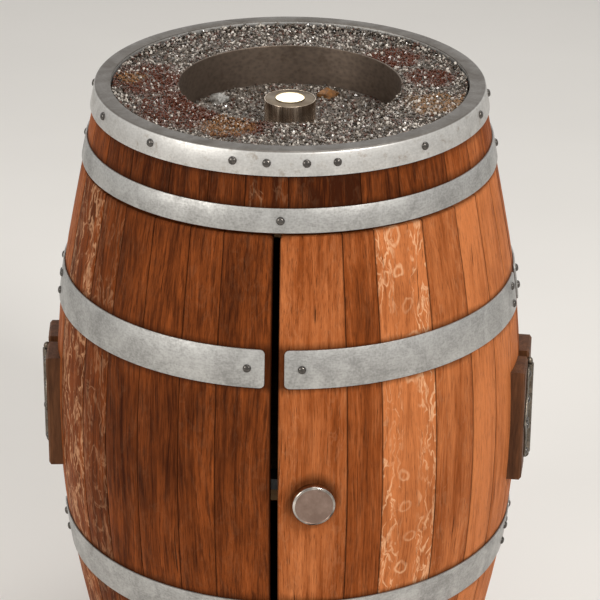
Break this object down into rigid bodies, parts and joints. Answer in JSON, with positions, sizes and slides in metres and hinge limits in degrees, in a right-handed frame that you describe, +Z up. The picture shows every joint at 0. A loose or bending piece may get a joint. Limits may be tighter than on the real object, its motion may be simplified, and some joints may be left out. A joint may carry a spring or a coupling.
{
  "type": "barrel bar cabinet",
  "caption": "Oak cask made into a bar cabinet: curved doors on side hinges, inner shelf, riveted steel rim and a round fire bowl in a gravel bed on top.",
  "frame": {"origin": "on the floor, under the middle of the cabinet's bounding box; the cask's own axis stands 9.0 mm behind it, at y = +0.008997 m", "axes": "+Z up along the cask, -Y towards the front where the doors meet, +X to the right of someone facing the doors"},
  "size_m": [0.7034, 0.6799, 0.95],
  "materials": {
    "hoop_steel": "galvanised steel, satin, lightly stained",
    "inner_oak": "sanded oak, thin oil",
    "stave_oak": "reddish-orange stained oak, satin varnish",
    "head_oak": "sanded oak, thin oil",
    "block_wood": "dark brown stained hardwood, satin",
    "wrought_iron": "antiqued iron, waxed",
    "nail_iron": "antiqued iron, waxed",
    "rivet_iron": "dark steel, satin",
    "tray_steel": "blackened steel sheet",
    "bowl_steel": "dark bronze heat-proof finish",
    "crushed_glass": "clear, grey and amber crushed glass, glossy facets",
    "polished_steel": "polished stainless steel",
    "can_steel": "tinned steel, bright",
    "fuel_gel": "ivory fuel, softly glowing while lit",
    "catch_plastic": "black plastic",
    "catch_steel": "zinc plated",
    "knob_steel": "turned steel, polished rim and brushed face",
    "bolt_steel": "zinc plated"
  },
  "bodies": {
    "carcass": {"rear_staves": "stave_oak", "upper_front_staves": "stave_oak", "lower_front_staves": "stave_oak", "bottom_head_boards": "head_oak", "top_head_boards": "head_oak", "rim_cap": "hoop_steel", "rim_rivets": "rivet_iron", "upper_quarter_hoop": "hoop_steel", "lower_quarter_hoop": "hoop_steel", "quarter_hoop_rivets": "rivet_iron", "foot_hoop": "hoop_steel", "foot_hoop_rivets": "rivet_iron", "upper_bilge_hoop": "hoop_steel", "lower_bilge_hoop": "hoop_steel", "bilge_hoop_rivets": "rivet_iron", "head_rail": "inner_oak", "sill_rail": "inner_oak", "shelf": "inner_oak", "shelf_cleat": "inner_oak", "catch_housing": "catch_plastic", "catch_magnets": "catch_steel", "gravel_tray": "tray_steel", "outer_gravel": "crushed_glass", "fire_bowl": "bowl_steel", "bowl_gravel": "crushed_glass", "burner_cup": "polished_steel", "left_post_block": "block_wood", "right_post_block": "block_wood", "left_post_leaf": "wrought_iron", "right_post_leaf": "wrought_iron", "post_leaf_nails": "nail_iron", "left_hinge_pin": "wrought_iron", "right_hinge_pin": "wrought_iron"},
    "fuel_can": {"fuel_can": "can_steel", "fuel": "fuel_gel"},
    "left_door": {"left_door_staves": "stave_oak", "left_upper_hoop": "hoop_steel", "left_lower_hoop": "hoop_steel", "left_hoop_rivets": "rivet_iron", "left_ledges": "inner_oak", "left_door_block": "block_wood", "left_door_leaf": "wrought_iron", "left_leaf_nails": "nail_iron", "left_strike_plate": "catch_steel"},
    "right_door": {"right_door_staves": "stave_oak", "right_upper_hoop": "hoop_steel", "right_lower_hoop": "hoop_steel", "right_hoop_rivets": "rivet_iron", "right_ledges": "inner_oak", "right_door_block": "block_wood", "right_door_leaf": "wrought_iron", "right_leaf_nails": "nail_iron", "right_strike_plate": "catch_steel", "pull_knob": "knob_steel", "knob_bolt": "bolt_steel"}
  },
  "joints": [
    {"name": "right_door_hinge", "type": "hinge", "parent": "carcass", "child": "right_door", "pos_m": [0.34319, -0.02103, 0.475], "axis": [0, 0, 1], "range_deg": [0, 130]},
    {"name": "left_door_hinge", "type": "hinge", "parent": "carcass", "child": "left_door", "pos_m": [-0.34319, -0.02103, 0.475], "axis": [0, 0, -1], "range_deg": [0, 130]},
    {"name": "fuel_can_lift", "type": "slide", "parent": "carcass", "child": "fuel_can", "axis": [0, 0, 1], "range_m": [0, 0.1]}
  ]
}
